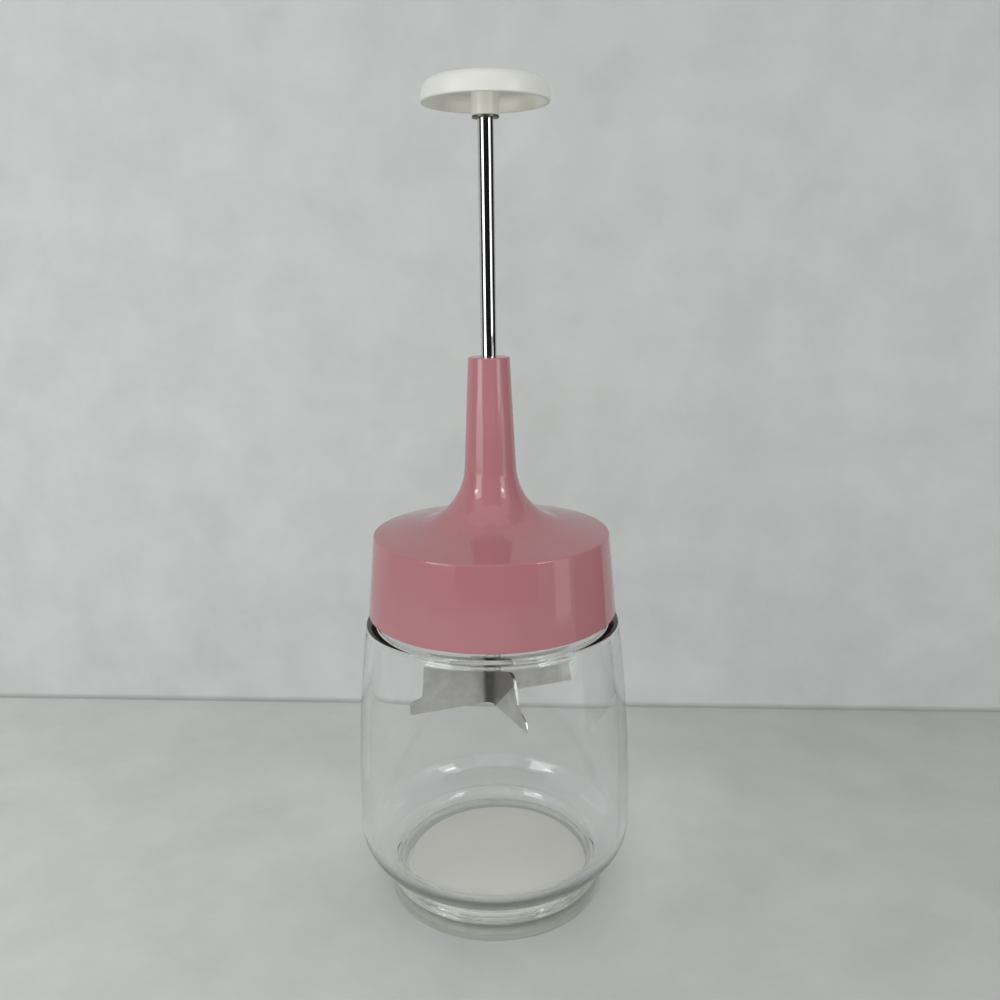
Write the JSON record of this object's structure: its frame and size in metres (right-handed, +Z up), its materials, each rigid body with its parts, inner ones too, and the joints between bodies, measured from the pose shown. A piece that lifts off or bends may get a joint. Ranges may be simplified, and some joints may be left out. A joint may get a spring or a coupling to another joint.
{
  "type": "plunger food chopper",
  "caption": "Glass jar with a push-on lid and tall guide neck; a sprung plunger with a round knob drives bent steel blades onto a loose chopping disc.",
  "frame": {"origin": "middle of the jar's ring foot, on the surface it stands on", "axes": "+Z up along the plunger, -Y towards the viewer of the picture, +X to the viewer's right"},
  "size_m": [0.0886, 0.0886, 0.2526],
  "materials": {
    "clear_glass": "polished clear glass",
    "disc_plastic": "satin white",
    "pink_plastic": "smooth moulded gloss",
    "bush_plastic": "plain moulded",
    "spring_steel": "drawn wire and stamped strip",
    "polished_steel": "bright polished bar",
    "white_plastic": "smooth moulded gloss",
    "dark_steel": "dark thin collar",
    "blade_steel": "satin stamped strip"
  },
  "bodies": {
    "jar": {"jar": "clear_glass", "chopping_disc": "disc_plastic"},
    "lid": {"lid": "pink_plastic", "guide_bush": "bush_plastic", "return_spring": "spring_steel"},
    "spring_seat": {"spring_washer": "spring_steel"},
    "plunger": {"plunger_rod": "polished_steel", "stop_clip": "spring_steel", "knob": "white_plastic", "knob_washer": "dark_steel", "blade_front": "blade_steel", "blade_rear": "blade_steel"}
  },
  "joints": [
    {"name": "lid_lift", "type": "slide", "parent": "jar", "child": "lid", "axis": [0, 0, 1], "range_m": [0, 0.11]},
    {"name": "plunge", "type": "slide", "parent": "lid", "child": "spring_seat", "axis": [0, 0, -1], "range_m": [0, 0.0574], "stiffness_N_per_m": 80, "springref_m": -0.03, "deforming": ["return_spring"]},
    {"name": "plunger_turn", "type": "hinge", "parent": "spring_seat", "child": "plunger", "pos_m": [0, 0, 0.17], "axis": [0, 0, 1], "continuous": true}
  ]
}
